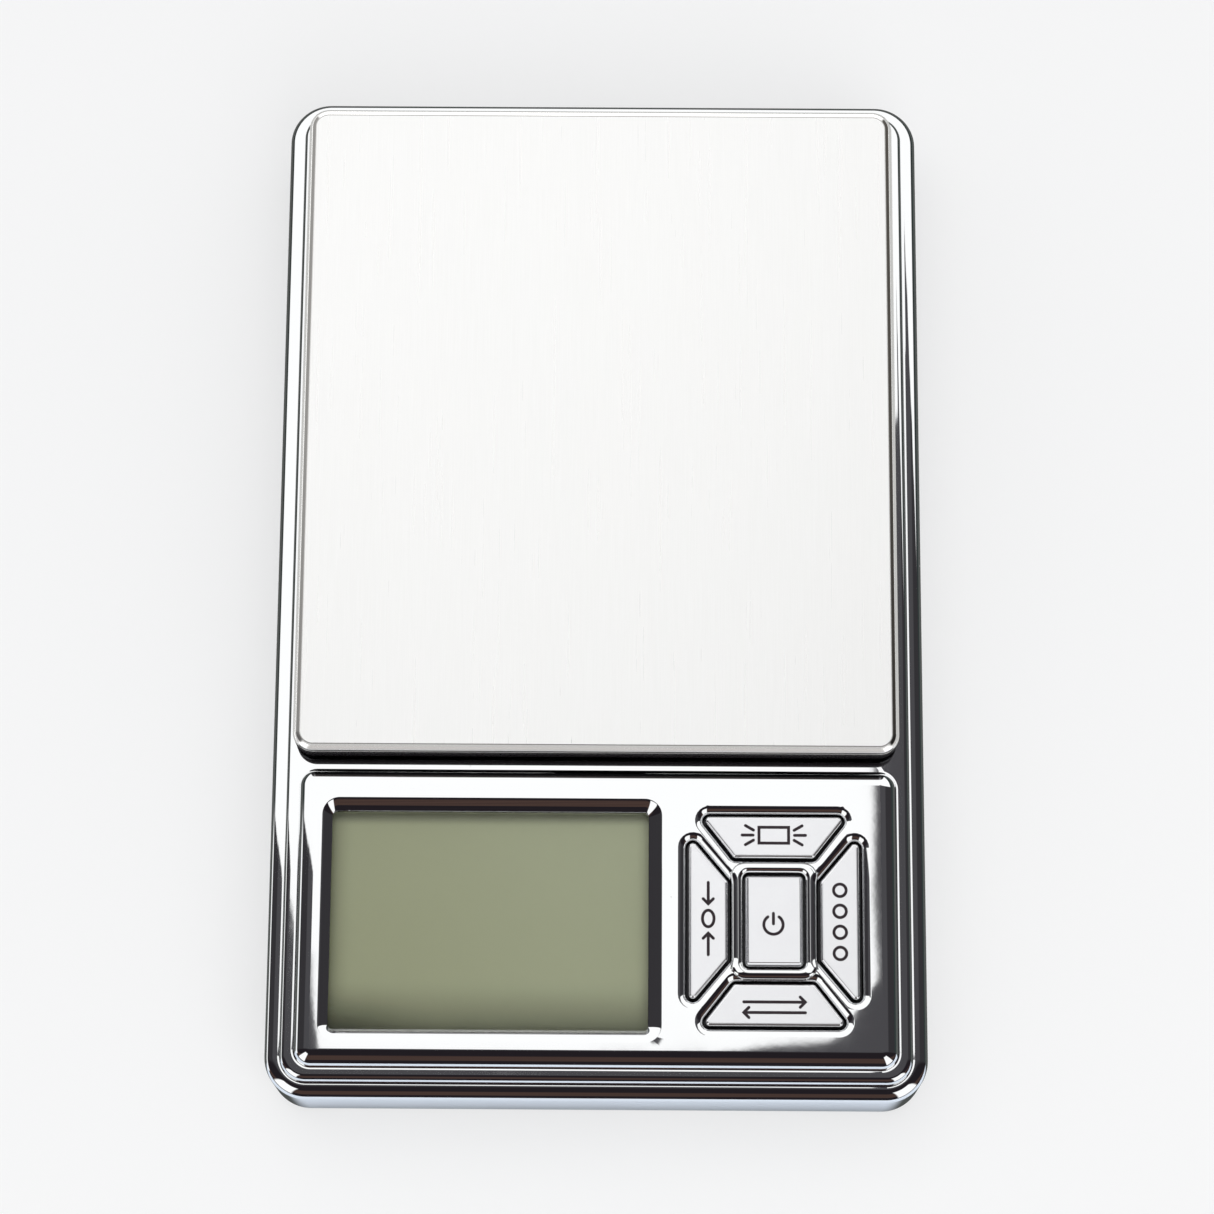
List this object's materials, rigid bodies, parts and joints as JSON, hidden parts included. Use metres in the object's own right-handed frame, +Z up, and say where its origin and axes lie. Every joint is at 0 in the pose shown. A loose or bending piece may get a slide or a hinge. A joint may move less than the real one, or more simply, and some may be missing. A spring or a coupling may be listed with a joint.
{
  "type": "digital gram scale",
  "caption": "Pocket digital gram scale: plated three-step case, brushed steel weighing tray, recessed display, key pad round a power key, load cell and AAA cells inside.",
  "frame": {"origin": "middle of the footprint of the bounding box, on the plane the four rubber feet rest on", "axes": "+Z up out of the weighing tray, +Y from the display end to the tray end, +X to the right of a user facing the display"},
  "size_m": [0.078, 0.1246, 0.0189],
  "materials": {
    "plated_abs": "bright chrome plating on moulded ABS",
    "silver_abs": "satin silver moulded ABS",
    "brushed_stainless": "satin, straight grain front to rear",
    "key_silver": "fine silver paint, satin",
    "rubber_black": "matt moulded rubber",
    "steel_screw": "zinc plated steel",
    "adhesive_foam": "double-sided foam tape",
    "carrier_black": "fine moulded texture",
    "cell_aluminium": "milled",
    "gauge_foil": "polyimide foil",
    "sealant_white": "cured silicone",
    "window_clear": "clear, polished",
    "lcd_olive": "grey-green polariser, satin",
    "white_abs": "smooth white",
    "guide_clear": "clear acrylic",
    "reflector_white": "matt white film",
    "led_body": "phosphor-filled resin",
    "zebra_rubber": "striped silicone",
    "pcb_green": "solder mask over copper",
    "epoxy_black": "epoxy",
    "can_steel": "drawn can",
    "capacitor_blue": "shrink sleeve",
    "silicone_grey": "moulded silicone",
    "battery_jacket": "plain printed jacket",
    "nickel_plate": "nickel plated spring steel",
    "wire_pvc": "PVC insulation"
  },
  "bodies": {
    "case": {"upper_housing": "plated_abs", "lower_housing": "silver_abs", "rubber_feet": "rubber_black", "case_screws": "steel_screw", "load_cell": "cell_aluminium", "strain_gauges": "gauge_foil", "gauge_sealant": "sealant_white", "base_spacer": "cell_aluminium", "base_screws": "steel_screw", "overload_stop": "steel_screw", "display_window": "window_clear", "lcd_panel": "lcd_olive", "lcd_frame": "white_abs", "backlight_guide": "guide_clear", "backlight_reflector": "reflector_white", "backlight_leds": "led_body", "zebra_strips": "zebra_rubber", "main_pcb": "pcb_green", "pcb_screws": "steel_screw", "controller_blob": "epoxy_black", "adc_chip": "epoxy_black", "crystal": "can_steel", "capacitors": "capacitor_blue", "chip_resistors": "epoxy_black", "cell_connector": "white_abs", "keypad_mat": "silicone_grey", "battery_front": "battery_jacket", "battery_rear": "battery_jacket", "battery_springs": "nickel_plate", "battery_terminals": "nickel_plate", "battery_bridge": "nickel_plate", "battery_leads": "wire_pvc", "load_cell_cable": "wire_pvc"},
    "platform": {"platform_tray": "brushed_stainless", "platform_pads": "adhesive_foam", "platform_carrier": "carrier_black", "carrier_screws": "steel_screw", "platform_spacer": "cell_aluminium"},
    "door": {"battery_door": "silver_abs"},
    "power_button": {"key_power": "key_silver"},
    "light_button": {"key_light": "key_silver"},
    "tare_button": {"key_tare": "key_silver"},
    "count_button": {"key_count": "key_silver"},
    "mode_button": {"key_mode": "key_silver"}
  },
  "joints": [
    {"name": "platform_deflection", "type": "slide", "parent": "case", "child": "platform", "axis": [0, 0, -1], "range_m": [0, 0.0004], "stiffness_N_per_m": 25000, "deforming": ["load_cell"]},
    {"name": "power_press", "type": "slide", "parent": "case", "child": "power_button", "axis": [0, 0, -1], "range_m": [0, 0.0008], "stiffness_N_per_m": 1500, "deforming": ["keypad_mat"]},
    {"name": "light_press", "type": "slide", "parent": "case", "child": "light_button", "axis": [0, 0, -1], "range_m": [0, 0.0008], "stiffness_N_per_m": 1500, "deforming": ["keypad_mat"]},
    {"name": "tare_press", "type": "slide", "parent": "case", "child": "tare_button", "axis": [0, 0, -1], "range_m": [0, 0.0008], "stiffness_N_per_m": 1500, "deforming": ["keypad_mat"]},
    {"name": "count_press", "type": "slide", "parent": "case", "child": "count_button", "axis": [0, 0, -1], "range_m": [0, 0.0008], "stiffness_N_per_m": 1500, "deforming": ["keypad_mat"]},
    {"name": "mode_press", "type": "slide", "parent": "case", "child": "mode_button", "axis": [0, 0, -1], "range_m": [0, 0.0008], "stiffness_N_per_m": 1500, "deforming": ["keypad_mat"]},
    {"name": "door_slide", "type": "slide", "parent": "case", "child": "door", "axis": [0, 1, 0], "range_m": [0, 0.008]}
  ]
}
